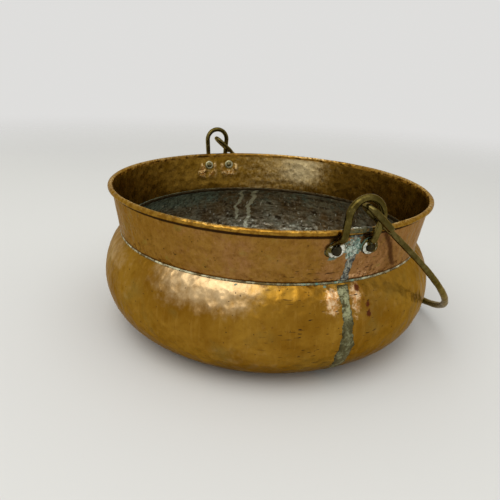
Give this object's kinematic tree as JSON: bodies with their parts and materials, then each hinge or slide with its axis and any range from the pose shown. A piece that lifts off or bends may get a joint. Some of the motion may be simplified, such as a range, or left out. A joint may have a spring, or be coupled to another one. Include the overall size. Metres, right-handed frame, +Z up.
{
  "type": "cauldron",
  "caption": "Hammered copper cauldron with a bulging belly, brazed seams, wired rolled rim, riveted bail ears and a hooked bail handle that swings over.",
  "frame": {"origin": "middle of the flat bottom, where the cauldron stands on the table", "axes": "+Z up; the bail ears stand on the Y axis, the one over the upright seams at -Y; the handle lies folded down on the +X side"},
  "size_m": [0.3803, 0.3778, 0.1912],
  "materials": {
    "belly_copper": "hammered, brown patina",
    "neck_copper": "hammered, brown patina",
    "pan_copper": "hammered, dark patina, tinned inside",
    "seam_braze": "dull, grey-green",
    "neck_braze": "dull, dark grey",
    "waist_braze": "dull, pale green-white",
    "wire_iron": "rusted wire",
    "solder": "dull, pale",
    "verdigris": "rough, blue-green",
    "front_ear_brass": "worn, dark olive",
    "back_ear_brass": "worn, dark olive",
    "front_rivet_brass": "beaten, dark",
    "back_rivet_brass": "beaten, dark",
    "washer_metal": "beaten, pale",
    "handle_brass": "worn, dark olive"
  },
  "bodies": {
    "pot": {"back_ear": "back_ear_brass", "back_left_rivet": "back_rivet_brass", "back_left_washer": "washer_metal", "back_right_rivet": "back_rivet_brass", "back_right_washer": "washer_metal", "belly_seam": "seam_braze", "belly_shell": "belly_copper", "bottom_pan": "pan_copper", "bottom_seam": "waist_braze", "ear_crust": "verdigris", "front_ear": "front_ear_brass", "front_left_rivet": "front_rivet_brass", "front_left_washer": "washer_metal", "front_right_rivet": "front_rivet_brass", "front_right_washer": "washer_metal", "neck_band": "neck_copper", "neck_seam": "neck_braze", "rim_solder": "solder", "rim_wire": "wire_iron", "waist_seam": "waist_braze"},
    "bail": {"handle": "handle_brass"}
  },
  "joints": [
    {"name": "handle_swing", "type": "hinge", "parent": "pot", "child": "bail", "pos_m": [0, 0, 0.1758], "axis": [0, -1, 0], "range_deg": [0, 256]}
  ]
}
